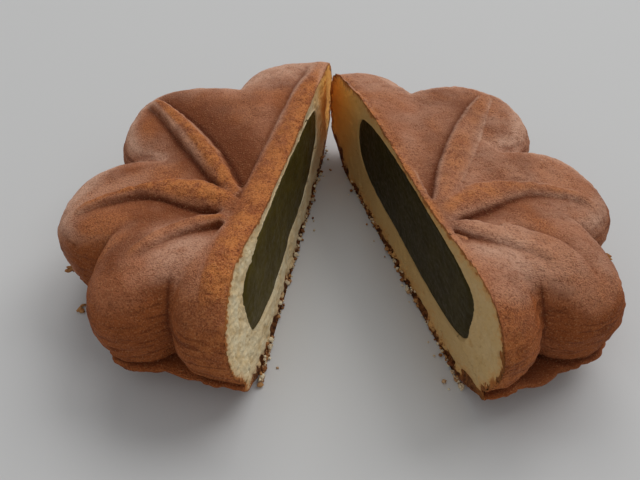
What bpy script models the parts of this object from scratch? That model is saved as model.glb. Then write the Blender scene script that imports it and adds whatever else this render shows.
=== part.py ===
"""Momiji manju: a maple-leaf sponge cake with bean-paste filling, cut in two.

The leaf is cut once along its length, a little beside the midrib, and the two
halves stand top side up, opened like a book: the far tips meet, the stem ends
are apart, and both cut faces show the paste.

Leaf coordinates, in millimetres: x is the distance outward from the midrib,
y runs from the stem end (0) to the tip lobe, z is height above the table.
Both halves are worked out in these coordinates and are then laid in the V.
"""
import math

import bmesh
import bpy
from mathutils import Vector

MM = 0.001

# ---- sizes of the leaf, mm -------------------------------------------------
HUB_Y = 23.0            # where the veins meet
TOP_Z = 20.6            # height of the flat of the leaf
SHOULDER_Z = 12.0       # widest height, where the wall turns into the rounded top
SHOULDER_W = 7.0        # width of that rounding, seen from above
RIM_Z = 5.4             # parting line of the two mould halves
RIM_T = 0.7             # thickness of the flash at the parting line
RIM_OUT = 0.6           # how far the flash stands out
WALL_TUCK = 1.3         # the wall draws in from the widest height to the parting line
STEM_TUCK = 1.3         # and draws in further under the stem lobe
BASE_IN = 8.6           # how far the underside draws in before it is flat
BASE_TRIM = 1.9         # the lower mould half is smaller all round
BASE_SOFT = 3.0         # and has softer notches
NOTCH_SOFT = 1.5        # softness of the notches between the upper lobes
VALLEY_SOFT = 5.0       # softness of the valleys that run in from the notches
CROWN_FALL = 0.12       # the top falls away from the midrib, height per width
DEEPEST = 1.5           # the grooves are no deeper than this where they meet

# lobe: centre x, centre y, half width towards the midrib and away from it, half length,
# squareness (2 is round)
LOBES = {
    "right": [
        (0.0, 53.0, 14.2, 14.2, 13.9, 3.0),
        (18.6, 46.1, 11.0, 11.9, 11.6, 2.3),
        (21.8, 25.7, 11.8, 10.9, 11.0, 2.3),
        (16.8, 12.6, 8.1, 7.8, 11.7, 2.5),
        (0.0, 11.2, 10.6, 10.6, 12.3, 2.8),
        (0.0, 30.0, 22.0, 22.0, 22.0, 2.0),
        (10.5, 13.4, 7.5, 7.5, 9.6, 2.2),
    ],
    "left": [
        (0.0, 53.2, 14.8, 14.8, 14.7, 3.3),
        (18.9, 44.4, 12.1, 12.1, 12.1, 2.4),
        (21.2, 23.4, 12.0, 12.0, 11.2, 2.4),
        (14.8, 11.4, 8.4, 7.6, 10.6, 2.4),
        (0.0, 11.2, 8.2, 8.2, 12.0, 3.6),
        (0.0, 30.0, 22.0, 22.0, 22.0, 2.0),
        (9.0, 13.0, 7.2, 7.2, 9.6, 2.2),
    ],
}
# the lower mould half reaches further out beside the stem
FOOT = {
    "right": (12.5, 11.0, 12.4, 12.4, 10.8, 2.6),
    "left": (12.0, 11.2, 10.0, 10.0, 10.3, 2.4),
}

# vein: start, middle pull and end (x, y), half width, ridge height, groove depth
# on its left and on its right, looking outward along it
VEINS = {
    "right": [
        ((0.0, 24.0), (0.0, 42.0), (0.0, 61.0), 1.9, 0.5, 0.7, 0.7),
        ((3.4, 23.2), (13.9, 38.1), (25.4, 50.0), 1.9, 0.4, 0.9, 0.6),
        ((2.8, 21.4), (17.6, 31.4), (29.0, 18.0), 2.0, 0.6, 0.5, 1.4),
        ((2.6, 18.8), (10.6, 18.8), (13.8, 8.4), 1.5, 0.4, 0.3, 0.9),
    ],
    "left": [
        ((0.0, 24.0), (0.0, 42.0), (0.0, 62.0), 2.1, 0.6, 1.0, 1.0),
        ((4.6, 24.2), (14.4, 36.9), (28.6, 49.0), 2.0, 0.8, 1.4, 1.3),
        ((3.8, 21.4), (17.7, 30.2), (30.4, 17.5), 2.1, 0.8, 0.5, 1.6),
        ((3.2, 17.8), (11.2, 18.0), (15.6, 8.0), 1.5, 0.5, 0.3, 0.9),
    ],
}
GROOVE_W = 1.05         # half width of a groove beside a vein

# ---- the knife and the V ---------------------------------------------------
KNIFE_X = {"right": 1.5, "left": -1.5}  # the cut keeps the midrib on the left half
CUT_AT = {"right": (19.735, -33.937), "left": (-12.065, -32.987)}  # stem end of each cut
CUT_TURN = {"right": 107.6, "left": 79.9}                   # heading of each cut, degrees
LEAN = {"right": 0.0, "left": 0.14}     # the stem end leans back, sideways per height
LEAN_END_Y = 46.0       # the lean has died away here
LEAN_END_X = 16.0       # and this far out from the midrib

# ---- the paste, mm ---------------------------------------------------------
PASTE_MID = (0.0, 30.2, 11.8)
PASTE_HALF = (15.0, 22.8, 6.5)
PASTE_SQUARE = 3.1
PASTE_DIP = 0.2         # the lump is lower under the hub of the veins
PASTE_DIP_L = 11.0      # and the dip is this long
PASTE_GAP = 0.3

# ---- fineness --------------------------------------------------------------
SPOKES = 150
TOP_RINGS = 21
WALL_RINGS = 3
BASE_RINGS = 5
FLOOR_RINGS = 2
LUMP_RINGS = 18
LUMP_SEGMENTS = 26


def soft_min(a, b, k):
    """The smaller of a and b, with a rounded changeover of width k."""
    h = max(k - abs(a - b), 0.0) / k
    return min(a, b) - h * h * k * 0.25


def lobe_depth(x, y, lobes, soft):
    """Distance in from the edge of the leaf, positive inside."""
    out = None
    for cx, cy, inner, outer, hl, square in lobes:
        dx = abs(x - cx) / (inner if x < cx else outer)
        dy = abs(y - cy) / hl
        reach = (dx ** square + dy ** square) ** (1.0 / square)
        d = (reach - 1.0) * min(max(inner, outer), hl)
        out = d if out is None else soft_min(out, d, soft)
    return -out


def edge_reach(turn, lobes, soft):
    """How far the leaf reaches from the hub in one direction."""
    ex, ey = math.cos(turn), math.sin(turn)
    near, far = 0.0, 60.0
    for _ in range(34):
        mid = 0.5 * (near + far)
        inside = lobe_depth(abs(ex * mid), HUB_Y + ey * mid, lobes, soft) > 0.0
        near, far = (mid, far) if inside else (near, mid)
    return 0.5 * (near + far)


def vein_relief(x, y, vein):
    """Height that one vein and its grooves add at a spot."""
    (ax, ay), (bx, by), (cx, cy), width, ridge, far_groove, near_groove = vein
    best, at, side = 1e9, 0.0, 1.0
    steps = 24
    for i in range(steps):
        t0, t1 = i / steps, (i + 1) / steps
        p0 = [(1 - t0) ** 2 * a + 2 * t0 * (1 - t0) * b + t0 * t0 * c
              for a, b, c in ((ax, bx, cx), (ay, by, cy))]
        p1 = [(1 - t1) ** 2 * a + 2 * t1 * (1 - t1) * b + t1 * t1 * c
              for a, b, c in ((ax, bx, cx), (ay, by, cy))]
        sx, sy = p1[0] - p0[0], p1[1] - p0[1]
        run = max(0.0, min(1.0, ((x - p0[0]) * sx + (y - p0[1]) * sy) / (sx * sx + sy * sy)))
        qx, qy = x - p0[0] - run * sx, y - p0[1] - run * sy
        gap = math.hypot(qx, qy)
        if gap < best:
            best, at = gap, t0 + run / steps
            side = 1.0 if sx * qy - sy * qx > 0.0 else -1.0
    fade = min(1.0, at / 0.12 + 0.25) * min(1.0, (1.0 - at) / 0.22)
    spread = width * (1.0 - 0.25 * at)
    groove = far_groove if side > 0.0 else near_groove
    lift = ridge * math.exp(-(best / spread) ** 2 * 1.4)
    dig = groove * math.exp(-((best - spread - GROOVE_W) / GROOVE_W) ** 2)
    return fade * (lift - dig)


def top_height(x, y, side, depth):
    """Height of the upper crust at a spot of the leaf."""
    rim = max(0.0, min(1.0, depth / SHOULDER_W))
    swell = math.sqrt(max(0.0, 1.0 - (1.0 - rim) ** 2.2))
    crown = TOP_Z + 0.9 * math.exp(-((y - 45.0) / 9.0) ** 2) + 1.3 * math.exp(-((y - 9.0) / 8.0) ** 2)
    crown -= 1.6 * max(0.0, (y - 52.0) / 14.0) + CROWN_FALL * abs(x)
    relief = max(-DEEPEST, sum(vein_relief(abs(x), y, vein) for vein in VEINS[side]))
    return SHOULDER_Z + (crown - SHOULDER_Z) * swell + relief * min(1.0, rim * 1.4)


def spoke_turns(lobes):
    """Directions of the spokes, evenly spaced along the edge of the leaf."""
    fine = 1440
    turns = [2.0 * math.pi * i / fine for i in range(fine + 1)]
    spots = [(edge_reach(t, lobes, NOTCH_SOFT), t) for t in turns]
    run = [0.0]
    for (r0, t0), (r1, t1) in zip(spots, spots[1:]):
        step = math.hypot(r1 * math.cos(t1) - r0 * math.cos(t0), r1 * math.sin(t1) - r0 * math.sin(t0))
        run.append(run[-1] + min(step, 0.45) + 0.05)
    out, j = [], 0
    for i in range(SPOKES):
        goal = run[-1] * (i + 0.5) / SPOKES
        while run[j + 1] < goal:
            j += 1
        share = (goal - run[j]) / (run[j + 1] - run[j])
        out.append(turns[j] + share * (turns[j + 1] - turns[j]))
    return out


def ring_at(turns, reaches, z):
    """One ring of points round the hub at a height."""
    return [(math.cos(t) * r, HUB_Y + math.sin(t) * r, z) for t, r in zip(turns, reaches)]


def leaf_rings(side):
    """Closed rings of the whole leaf, from the top middle down and under."""
    lobes = LOBES[side]
    turns = spoke_turns(lobes)
    upper = [edge_reach(t, lobes, NOTCH_SOFT) for t in turns]
    lower = [edge_reach(t, lobes + [FOOT[side]], BASE_SOFT) - BASE_TRIM for t in turns]
    tuck = [WALL_TUCK + STEM_TUCK * max(0.0, -math.sin(t)) ** 8 for t in turns]
    rings = []
    for i in range(1, TOP_RINGS + 1):
        share = 1.0 - (1.0 - i / (TOP_RINGS + 0.15)) ** 1.25
        ring = []
        for x, y, _ in ring_at(turns, [r * share for r in upper], 0.0):
            ring.append((x, y, top_height(x, y, side, lobe_depth(abs(x), y, lobes, VALLEY_SOFT))))
        rings.append(ring)
    for i in range(WALL_RINGS + 1):
        share = i / WALL_RINGS
        wall = [r - d * share ** 1.7 for r, d in zip(upper, tuck)]
        rings.append(ring_at(turns, wall, SHOULDER_Z + (RIM_Z - SHOULDER_Z) * share))
    foot = [r - d for r, d in zip(upper, tuck)]
    for drop in (0.0, 1.0):
        flash = []
        for t, r, q in zip(turns, foot, lower):
            wave = 0.18 * math.sin(9.0 * t) + 0.12 * math.sin(23.0 * t + 1.0)
            flash.append(max(q + RIM_OUT, r + 0.4) - 0.2 * drop + wave)
        rings.append(ring_at(turns, flash, RIM_Z - RIM_T * drop))
    for i in range(BASE_RINGS):
        share = i / (BASE_RINGS - 1)
        under = [q - 0.1 - BASE_IN * share for q in lower]
        rings.append(ring_at(turns, under, (RIM_Z - RIM_T - 0.2) * (1.0 - share) ** 1.35))
    for i in range(1, FLOOR_RINGS + 1):
        share = 1.0 - i / (FLOOR_RINGS + 1)
        rings.append(ring_at(turns, [(q - 0.1 - BASE_IN) * share for q in lower], 0.0))
    return rings


def skin(rings, first, last):
    """A closed mesh through rings, shut by a point at each end."""
    bm = bmesh.new()
    loops = [[bm.verts.new(Vector(p) * MM) for p in ring] for ring in rings]
    count = len(loops[0])
    top = bm.verts.new(Vector(first) * MM)
    end = bm.verts.new(Vector(last) * MM)
    for i in range(count):
        j = (i + 1) % count
        bm.faces.new((top, loops[0][i], loops[0][j]))
        bm.faces.new((end, loops[-1][j], loops[-1][i]))
        for a, b in zip(loops, loops[1:]):
            bm.faces.new((a[i], b[i], b[j], a[j]))
    bmesh.ops.recalc_face_normals(bm, faces=bm.faces)
    return bm


def cut_by_knife(bm, side):
    """Keep the outward side of the knife cut and close the cut face."""
    at = Vector((KNIFE_X[side] * MM, 0.0, 0.0))
    geom = bm.verts[:] + bm.edges[:] + bm.faces[:]
    done = bmesh.ops.bisect_plane(bm, geom=geom, dist=0.00004, plane_co=at,
                                  plane_no=Vector((-1.0, 0.0, 0.0)), clear_outer=True)
    rim = [e for e in done["geom_cut"] if isinstance(e, bmesh.types.BMEdge)]
    bmesh.ops.edgeloop_fill(bm, edges=rim)
    bmesh.ops.recalc_face_normals(bm, faces=bm.faces)


def lump_rings(grow):
    """Rings of the paste lump, from its stem end to its tip end."""
    hx, hy, hz = (h + grow for h in PASTE_HALF)
    rings = []
    for i in range(1, LUMP_RINGS):
        a = math.pi * i / LUMP_RINGS
        along = -math.copysign(abs(math.cos(a)) ** (2.0 / PASTE_SQUARE), math.cos(a))
        girth = math.sin(a) ** (2.0 / PASTE_SQUARE)
        ring = []
        for j in range(LUMP_SEGMENTS):
            b = 2.0 * math.pi * (j + 0.5) / LUMP_SEGMENTS
            x = math.copysign(abs(math.cos(b)) ** (2.0 / PASTE_SQUARE), math.cos(b)) * girth * hx
            z = math.copysign(abs(math.sin(b)) ** (2.0 / PASTE_SQUARE), math.sin(b)) * girth * hz
            if z > 0.0:
                z *= 1.0 - PASTE_DIP * math.exp(-(along * hy / PASTE_DIP_L) ** 2) - 0.012 * abs(x)
            ring.append((PASTE_MID[0] + x, PASTE_MID[1] + along * hy, PASTE_MID[2] + z))
        rings.append(ring)
    ends = [(PASTE_MID[0], PASTE_MID[1] + s * hy, PASTE_MID[2]) for s in (-1.0, 1.0)]
    return rings, ends[0], ends[1]


def lay_in_v(bm, side):
    """Carry a half from leaf coordinates to its place in the V."""
    turn = math.radians(CUT_TURN[side])
    hand = 1.0 if side == "right" else -1.0
    ey = Vector((math.cos(turn), math.sin(turn), 0.0))
    ex = Vector((math.sin(turn), -math.cos(turn), 0.0)) * hand
    at = Vector((*CUT_AT[side], 0.0)) * MM
    for v in bm.verts:
        x, y, z = v.co
        lean = LEAN[side] * max(0.0, 1.0 - y / (LEAN_END_Y * MM)) * math.exp(-(x / (LEAN_END_X * MM)) ** 2)
        v.co = at + (x + lean * z - KNIFE_X[side] * MM) * ex + y * ey + Vector((0.0, 0.0, z))
    if side == "left":
        bmesh.ops.reverse_faces(bm, faces=bm.faces)


def material(name, colour, rough):
    mat = bpy.data.materials.new(name)
    mat.use_nodes = True
    shader = mat.node_tree.nodes["Principled BSDF"]
    shader.inputs["Base Color"].default_value = (*colour, 1.0)
    shader.inputs["Roughness"].default_value = rough
    return mat


def as_object(bm, name, mat=None):
    """Turn a working mesh into an object of the scene."""
    mesh = bpy.data.meshes.new(name)
    bm.to_mesh(mesh)
    bm.free()
    obj = bpy.data.objects.new(name, mesh)
    bpy.context.scene.collection.objects.link(obj)
    if mat is not None:
        mesh.materials.append(mat)
    return obj


def hollow_out(bm, pocket):
    """Take the pocket out of a cake half while both are still in leaf coordinates."""
    body = as_object(bm, "body")
    cutter = as_object(pocket, "pocket")
    cut = body.modifiers.new("pocket", "BOOLEAN")
    cut.operation = "DIFFERENCE"
    cut.solver = "EXACT"
    cut.object = cutter
    bpy.context.view_layer.update()
    cut_body = body.evaluated_get(bpy.context.evaluated_depsgraph_get())
    out = bmesh.new()
    out.from_mesh(cut_body.to_mesh())
    cut_body.to_mesh_clear()
    for obj in (body, cutter):
        bpy.data.objects.remove(obj, do_unlink=True)
    return out


def build_half(side, crust, paste):
    """One half of the cake and its half of the paste, in their places."""
    middle_top = top_height(0.0, HUB_Y, side, 20.0)
    cake = skin(leaf_rings(side), (0.0, HUB_Y, middle_top), (0.0, HUB_Y, 0.0))
    cut_by_knife(cake, side)
    cake = hollow_out(cake, skin(*lump_rings(PASTE_GAP)))
    lump = skin(*lump_rings(0.0))
    cut_by_knife(lump, side)
    made = []
    for bm, name, mat in ((cake, "cake_" + side, crust), (lump, "paste_" + side, paste)):
        bmesh.ops.triangulate(bm, faces=[f for f in bm.faces if len(f.verts) > 4])
        lay_in_v(bm, side)
        made.append(as_object(bm, name, mat))
    return made


def centre(objects):
    """Put the middle of the underside of the whole on the origin."""
    spots = [v.co for obj in objects for v in obj.data.vertices]
    low = Vector([min(p[i] for p in spots) for i in range(3)])
    high = Vector([max(p[i] for p in spots) for i in range(3)])
    shift = Vector((0.5 * (low.x + high.x), 0.5 * (low.y + high.y), low.z))
    for obj in objects:
        for v in obj.data.vertices:
            v.co -= shift


def main():
    for obj in list(bpy.data.objects):
        bpy.data.objects.remove(obj, do_unlink=True)
    crust = {s: material("crust_" + s, (0.42, 0.20, 0.09), 0.75) for s in ("left", "right")}
    paste = {s: material("paste_" + s, (0.12, 0.12, 0.03), 0.45) for s in ("left", "right")}
    made = []
    for side in ("left", "right"):
        made += build_half(side, crust[side], paste[side])
    centre(made)


main()
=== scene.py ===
# %% [markdown]
# # A maple-leaf bean cake, cut open
#
# Momiji manju is a small sponge cake baked in a two-part iron mould shaped like a
# maple leaf, with a lump of sweet bean paste inside. This notebook dresses a packed
# CAD model of one such cake. It has been cut along the leaf, and its two halves
# stand in a V with both cut faces showing. Nothing here moves a CAD part: each new
# piece is worked out from the same named sizes, so it lands where the solid is.

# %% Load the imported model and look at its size
import math

import random

import bmesh
import bpy
import numpy as np
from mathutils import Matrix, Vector
from mathutils.kdtree import KDTree


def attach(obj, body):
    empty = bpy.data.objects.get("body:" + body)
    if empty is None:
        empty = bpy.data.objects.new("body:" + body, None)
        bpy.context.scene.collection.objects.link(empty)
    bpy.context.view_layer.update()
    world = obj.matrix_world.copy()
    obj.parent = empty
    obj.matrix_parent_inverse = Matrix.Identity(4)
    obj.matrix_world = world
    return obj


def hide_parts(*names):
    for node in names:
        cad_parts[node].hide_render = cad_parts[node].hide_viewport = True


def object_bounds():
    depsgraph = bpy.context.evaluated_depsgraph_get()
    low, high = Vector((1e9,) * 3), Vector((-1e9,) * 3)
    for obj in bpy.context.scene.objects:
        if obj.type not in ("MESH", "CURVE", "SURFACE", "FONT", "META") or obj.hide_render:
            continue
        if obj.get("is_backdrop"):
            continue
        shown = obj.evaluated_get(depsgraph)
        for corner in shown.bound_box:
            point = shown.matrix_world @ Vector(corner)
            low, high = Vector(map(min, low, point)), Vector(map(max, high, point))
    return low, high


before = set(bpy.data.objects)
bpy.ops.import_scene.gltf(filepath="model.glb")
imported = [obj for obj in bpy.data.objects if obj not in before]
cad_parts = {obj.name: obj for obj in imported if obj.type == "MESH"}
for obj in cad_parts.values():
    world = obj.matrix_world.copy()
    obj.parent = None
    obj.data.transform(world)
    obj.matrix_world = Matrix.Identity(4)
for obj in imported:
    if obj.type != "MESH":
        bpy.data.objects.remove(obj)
cad_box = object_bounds()
MM = 0.001
SIDES = ("left", "right")
print("nodes", sorted(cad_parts))
print("box", [round(v / MM, 1) for v in (*cad_box[0], *cad_box[1])], "mm")

# %% [markdown]
# ## The sizes that drive everything
#
# All sizes are in millimetres. A half is worked out in *leaf coordinates*: x is the
# distance out from the midrib, y runs from the stem end to the tip, z is height.
# A lobe is a rounded blob given by its middle, its half widths towards and away from
# the midrib, its half length and how square it is. A vein is a bend of three points
# with a half width and a groove of its own depth on either side. Each half has its
# own numbers, because no two sides of a baked cake come out alike.

# %% Sizes of the leaf
HUB_Y = 23.0
TOP_Z, SHOULDER_Z, RIM_Z = 20.6, 12.0, 5.4
SHOULDER_W = 7.0
RIM_T, RIM_OUT = 0.7, 0.6
WALL_TUCK, STEM_TUCK = 1.3, 1.3
BASE_IN, BASE_TRIM, BASE_SOFT = 8.6, 1.9, 3.0
NOTCH_SOFT, VALLEY_SOFT, FLAT_SOFT = 0.7, 1.0, 6.0
CROWN_FALL = 0.12
DEEPEST = 2.2

# lobe: centre x and y, half width towards the midrib and away from it, half length,
# squareness (2 is round); the last two fill the middle and the gap beside the stem
LOBES = {
    "right": [
        (0.0, 53.0, 14.2, 14.2, 13.9, 3.0),
        (18.6, 46.1, 11.0, 11.9, 11.6, 2.3),
        (21.8, 25.7, 11.8, 10.9, 11.0, 2.3),
        (16.8, 12.6, 8.1, 7.8, 11.7, 2.5),
        (0.0, 11.2, 10.6, 10.6, 12.3, 2.8),
        (0.0, 30.0, 22.0, 22.0, 22.0, 2.0),
        (10.5, 13.4, 7.5, 7.5, 9.6, 2.2),
    ],
    "left": [
        (0.0, 53.2, 14.8, 14.8, 14.7, 3.3),
        (18.9, 44.4, 12.1, 12.1, 12.1, 2.4),
        (21.2, 23.4, 12.0, 12.0, 11.2, 2.4),
        (14.8, 11.4, 8.4, 7.6, 10.6, 2.4),
        (0.0, 11.2, 8.2, 8.2, 12.0, 3.6),
        (0.0, 30.0, 22.0, 22.0, 22.0, 2.0),
        (9.0, 13.0, 7.2, 7.2, 9.6, 2.2),
    ],
}
# the lower half of the mould reaches further out beside the stem
FOOT = {"right": (12.5, 11.0, 12.4, 12.4, 10.8, 2.6), "left": (12.0, 11.2, 10.0, 10.0, 10.3, 2.4)}

# vein: start, middle pull and end of its line, then a pair for its left and right each:
# half width, depth of the groove, reach of the slope beyond it. Then ridge height, where
# the grooves begin, how much of their depth is gone by the end, how golden the ridge is,
# how much it narrows half way
VEINS = {
    "right": [
        ((0.0, 2.0), (0.0, 34.0), (0.0, 66.0),
         (2.6, 2.6), (0.3, 0.3), (2.2, 2.2), 0.2, 0.32, 0.0, 0.8, 0.0),
        ((3.4, 23.2), (13.9, 38.1), (25.4, 50.0),
         (2.1, 2.2), (1.1, 0.4), (3.2, 2.4), 0.2, 0.0, 0.4, 0.55, 0.0),
        ((2.8, 21.4), (17.6, 31.4), (29.0, 18.0),
         (1.9, 3.2), (0.5, 1.6), (2.2, 3.0), 0.3, 0.0, 0.85, 0.75, 0.45),
        ((2.6, 19.0), (9.6, 17.4), (14.0, 8.0),
         (1.5, 1.8), (0.3, 1.1), (2.0, 2.8), 0.3, 0.0, 0.8, 0.2, 0.0),
        ((10.6, 16.6), (15.0, 13.0), (17.0, 4.6),
         (1.7, 2.0), (0.6, 0.0), (2.8, 2.0), 0.2, 0.0, 0.3, 0.0, 0.0),
    ],
    "left": [
        ((0.0, 0.0), (0.0, 33.0), (0.0, 66.0),
         (3.0, 3.0), (0.7, 0.7), (3.2, 3.2), 0.3, 0.3, 0.0, 1.0, 0.0),
        ((4.6, 24.2), (14.4, 36.9), (28.6, 49.0),
         (2.0, 2.1), (2.2, 1.5), (5.2, 3.2), 0.5, 0.0, 0.5, 1.0, 0.0),
        ((3.8, 21.4), (17.7, 30.2), (30.4, 17.5),
         (2.0, 3.2), (0.5, 2.0), (2.4, 3.2), 0.4, 0.0, 0.75, 1.0, 0.55),
        ((3.2, 17.8), (11.2, 18.0), (15.6, 8.0),
         (1.3, 1.5), (0.3, 1.2), (2.0, 3.0), 0.35, 0.0, 0.7, 0.5, 0.0),
    ],
}

# the knife's line in the leaf; where each cut's stem end stands and its heading in the
# V, in degrees; and how far the left face leans back, sideways per height, until where
KNIFE_X = {"right": 1.5, "left": -1.5}
CUT_AT = {"right": (19.735, -33.937), "left": (-12.065, -32.987)}
CUT_TURN = {"right": 107.6, "left": 79.9}
LEAN = {"right": 0.0, "left": 0.14}
LEAN_END_Y, LEAN_END_X = 46.0, 16.0

# the paste's middle and half sizes, how blunt its stem end and how round its tip end
# is, and how much it rises along the cut
PASTE_Y, PASTE_Z = 29.6, 13.0
PASTE_L, PASTE_H = 22.2, 6.5
PASTE_BLUNT, PASTE_TAPER, PASTE_RISE = 4.6, 2.8, 0.03

# %% [markdown]
# ## Noise for crumbs and crust
#
# Baked crust and torn sponge are uneven at every scale. Small helpers supply that:
# `grain` is a smooth random field, `grains` adds up several sizes of it, and `cells`
# gives the distance to the nearest of many scattered spots, which is what air bubbles
# look like. All work on whole arrays of points and are seeded, so every run gives the
# same cake.

# %% Noise helpers
def lattice(ix, iy, iz, seed):
    """A repeatable random number between 0 and 1 for each lattice point."""
    h = (ix * 374761393 + iy * 668265263 + iz * 1274126177 + seed * 974634777) & 0xFFFFFFFF
    h = ((h ^ (h >> 13)) * 1274126177) & 0xFFFFFFFF
    return ((h ^ (h >> 16)) & 0xFFFF) / 65535.0


def grain(points, size, seed):
    """Smooth noise from -1 to 1, with lumps of a given size in mm."""
    q = points / size
    base = np.floor(q)
    f = q - base
    f = f * f * (3.0 - 2.0 * f)
    i = base.astype(np.int64)
    total = np.zeros(points.shape[:-1])
    for corner in np.ndindex(2, 2, 2):
        wx, wy, wz = (f[..., k] if c else 1.0 - f[..., k] for k, c in enumerate(corner))
        total += wx * wy * wz * lattice(*(i[..., k] + c for k, c in enumerate(corner)), seed)
    return total * 2.0 - 1.0


def grains(points, seed, *kinds, start=0.0):
    """Several kinds of grain added up, each given by its strength and its size in mm."""
    for i, (strength, size) in enumerate(kinds):
        start = start + strength * grain(points, size, seed + i)
    return start


def cells(points, size, seed):
    """Distance to the nearest scattered spot, and a random number for that spot."""
    q = points / size
    i = np.floor(q).astype(np.int64)
    best = np.full(points.shape[:-1], 9.0)
    kind = np.zeros(points.shape[:-1])
    for step in np.ndindex(3, 3, 3):
        cell = [i[..., k] + step[k] - 1 for k in range(3)]
        dx, dy, dz = (cell[k] + lattice(*cell, seed + k) - q[..., k] for k in range(3))
        gap = np.sqrt(dx ** 2 + dy ** 2 + dz ** 2)
        nearer = gap < best
        best = np.where(nearer, gap, best)
        kind = np.where(nearer, lattice(*cell, seed + 3), kind)
    return best, kind


def smooth_step(low, high, value):
    """0 below low, 1 above high, with an eased change between."""
    t = np.clip((value - low) / (high - low), 0.0, 1.0)
    return t * t * (3.0 - 2.0 * t)


# %% [markdown]
# ## The shape of the leaf
#
# The leaf's edge is a soft union of its lobes. Asking how deep a spot lies inside
# that union gives both the outline, where the depth is nought, and the pillow-like
# rounding of the top, which depends on the depth alone. That is why neighbouring
# lobes meet in a valley without any modelling by hand.

# %% Outline and depth
def soft_min(a, b, k):
    h = np.maximum(k - np.abs(a - b), 0.0) / k
    return np.minimum(a, b) - h * h * k * 0.25


def lobe_depth(x, y, lobes, soft):
    """Distance in from the edge of the leaf, positive inside."""
    out = None
    for cx, cy, inner, outer, hl, square in lobes:
        dx = np.abs(x - cx) / np.where(x < cx, inner, outer)
        reach = (dx ** square + np.abs((y - cy) / hl) ** square) ** (1.0 / square)
        d = (reach - 1.0) * min(max(inner, outer), hl)
        out = d if out is None else soft_min(out, d, soft)
    return -out


def edge_reach(turns, lobes, soft):
    """How far the leaf reaches from the hub in each direction."""
    near, far = np.zeros_like(turns), np.full_like(turns, 60.0)
    for _ in range(34):
        mid = 0.5 * (near + far)
        inside = lobe_depth(np.abs(np.cos(turns) * mid), HUB_Y + np.sin(turns) * mid, lobes, soft) > 0.0
        near, far = np.where(inside, mid, near), np.where(inside, far, mid)
    return 0.5 * (near + far)


# %% [markdown]
# ## Veins
#
# Every vein on the mould leaves a rounded ridge lying in a shallow trough, with a
# groove along one side or both, whose far slope eases out. They could be carved by
# hand. Here, for each spot of the top, the helper finds the nearest point of the vein
# and reads the height off a cross-section. Where two veins meet, the higher ridge and
# the deeper slope win. Masks say how much of the spot is ridge, groove or hollow.
# Ridges bake golden; grooves are darkened nearly black, part baked brown and part
# painted shade, and the hollows beside the veins carry painted shade.

# %% Vein cross-section
def along_vein(x, y, vein):
    """Distance to the vein's line, how far along it, and which side the spot is on."""
    a, b, c = (np.array(p) for p in vein[:3])
    steps = 26
    t = np.linspace(0.0, 1.0, steps + 1)[:, None]
    line = (1 - t) ** 2 * a + 2 * t * (1 - t) * b + t * t * c
    gap, at, side = np.full(x.shape, 1e9), np.zeros(x.shape), np.ones(x.shape)
    for i in range(steps):
        sx, sy = line[i + 1] - line[i]
        run = np.clip(((x - line[i, 0]) * sx + (y - line[i, 1]) * sy) / (sx * sx + sy * sy), 0.0, 1.0)
        qx, qy = x - line[i, 0] - run * sx, y - line[i, 1] - run * sy
        d = np.hypot(qx, qy)
        nearer = d < gap
        gap = np.where(nearer, d, gap)
        at = np.where(nearer, (i + run) / steps, at)
        side = np.where(nearer, np.sign(sx * qy - sy * qx), side)
    return gap, at, side


def vein_parts(x, y, vein):
    """One vein's dome, the slope beside it, and masks for its gold and for the darkening of its groove,
    part baked brown and part painted shade.
    """
    gap, at, side = along_vein(x, y, vein)
    (width, deep, reach) = (np.where(side > 0.0, left, right) for left, right in vein[3:6])
    ridge, begins, lost, gold, pinch = vein[6:]
    at = np.clip(at, 0.0, 1.0)
    fade = np.clip(at / 0.08 + (0.25 if begins < 0.35 else 0.0), 0.0, 1.0)
    fade = fade * smooth_step(0.0, 0.12, 1.0 - at)
    width = width * (0.60 + 0.55 * np.sin(np.pi * at ** 0.8)) * (1.0 - pinch * smooth_step(0.2, 0.65, at))
    deep = deep * fade * smooth_step(begins - 0.1, begins + 0.05, at) * (1.0 - lost * at)
    slope = -deep * np.exp(-np.maximum(gap - width, 0.0) / reach)
    dome = np.clip(1.0 - (gap / width) ** 2.2, 0.0, 1.0)
    height = np.where(gap < width, (ridge * fade + deep) * dome - deep, -9.0)
    # darker at the foot of the ridge and more so in a deeper groove: part baked brown, part painted shade
    dark = np.exp(-((gap - width + 0.05) / 0.75) ** 2) * np.clip(deep / 1.5, 0.0, 1.0)
    return height, slope, gold * fade * dome * (1.2 - 0.75 * at), dark


def crease_at(x, y, side):
    """1 where two lobes meet at the leaf's edge, falling away from the crease; it is painted shade in the
    crease.
    """
    reach = [lobe_depth(x, y, [lobe], 1.0) for lobe in LOBES[side][:5]]
    best, second = np.sort(np.array(reach), axis=0)[[-1, -2]]
    return np.exp(-(best - second) / 0.8) * smooth_step(44.0, 16.0, y)


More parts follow.
